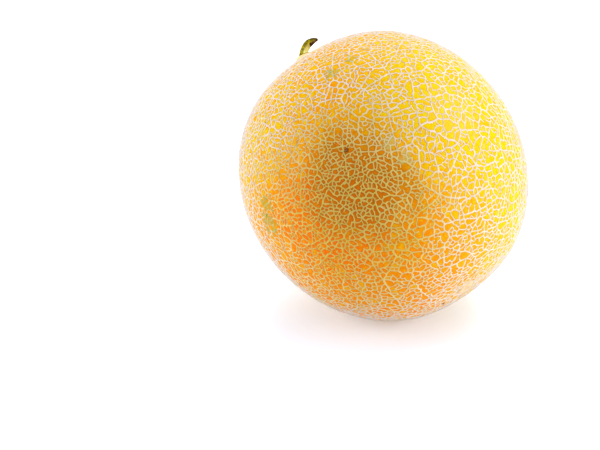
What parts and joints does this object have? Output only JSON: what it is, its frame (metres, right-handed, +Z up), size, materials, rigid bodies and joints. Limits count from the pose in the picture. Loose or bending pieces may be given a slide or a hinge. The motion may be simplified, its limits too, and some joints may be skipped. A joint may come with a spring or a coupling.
{
  "type": "galia melon",
  "caption": "Whole netted melon, nearly round, with its ends a little flattened, a smooth collar and a short leaning stub of stem. It rests on a small flat spot.",
  "frame": {"origin": "middle of the flat spot that the fruit rests on", "axes": "+Z up, +X to the viewer's right and +Y away from the viewer. The stem end points up, back and to the left, and the blossom end down, forward and to the right"},
  "size_m": [0.1451, 0.1434, 0.1422],
  "materials": {
    "rind": "satin",
    "stem": "matte"
  },
  "bodies": {
    "root": {"melon": "rind", "stem": "stem"}
  },
  "joints": []
}
